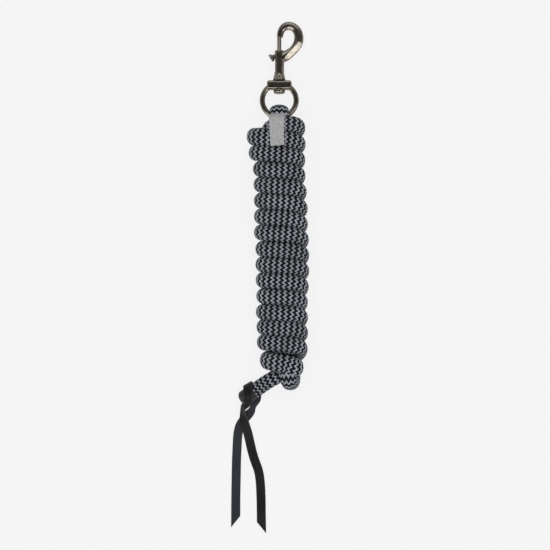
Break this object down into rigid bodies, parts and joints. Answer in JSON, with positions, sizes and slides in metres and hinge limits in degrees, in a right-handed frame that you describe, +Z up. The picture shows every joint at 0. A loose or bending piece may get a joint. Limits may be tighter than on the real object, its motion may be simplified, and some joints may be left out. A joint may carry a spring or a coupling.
{
  "type": "lead rope",
  "caption": "Braided horse lead rope wound into a hank, with a swivel bolt snap at one end, a woven label and a doubled leather popper at the other.",
  "frame": {"origin": "on the surface that the hank lies on, under the middle of the whole object's box", "axes": "+Y along the hank towards the snap, +Z up out of the surface, +X towards the back of the hook"},
  "size_m": [0.0732, 0.4814, 0.04],
  "materials": {
    "antique_nickel": "polished dark nickel plating",
    "spring_steel": "drawn wire",
    "braided_yarn": "grey and black zigzag braid",
    "black_thread": "matt waxed thread",
    "label_tape": "plain woven tape",
    "black_leather": "smooth black strap leather"
  },
  "bodies": {
    "rope": {"rope_hank": "braided_yarn", "rope_eye": "braided_yarn", "rope_bight": "braided_yarn", "rope_tail": "braided_yarn", "rope_end_binding": "black_thread", "eye_stitching": "black_thread", "woven_label": "label_tape"},
    "ring": {"swivel_ring": "antique_nickel"},
    "snap": {"snap_body": "antique_nickel", "swivel_rivet": "antique_nickel", "bolt_spring": "spring_steel"},
    "bolt": {"bolt_pin": "antique_nickel", "thumb_knob": "antique_nickel"},
    "popper": {"popper_strap": "black_leather"}
  },
  "joints": [
    {"name": "ring_swing", "type": "hinge", "parent": "rope", "child": "ring", "pos_m": [0.0087, 0.1507, 0.0175], "axis": [1, 0, 0], "range_deg": [-60, 60]},
    {"name": "snap_swivel", "type": "hinge", "parent": "ring", "child": "snap", "pos_m": [0.0087, 0.1507, 0.0175], "axis": [0, 0.987, -0.1607], "continuous": true},
    {"name": "bolt_slide", "type": "slide", "parent": "snap", "child": "bolt", "axis": [0, -0.987, 0.1607], "range_m": [0, 0.011], "stiffness_N_per_m": 300, "springref_m": -0.006, "deforming": ["bolt_spring"]},
    {"name": "popper_turn", "type": "hinge", "parent": "rope", "child": "popper", "pos_m": [-0.0203, -0.1105, 0.0102], "axis": [-0.811, -0.585, 0], "range_deg": [-90, 90]}
  ]
}
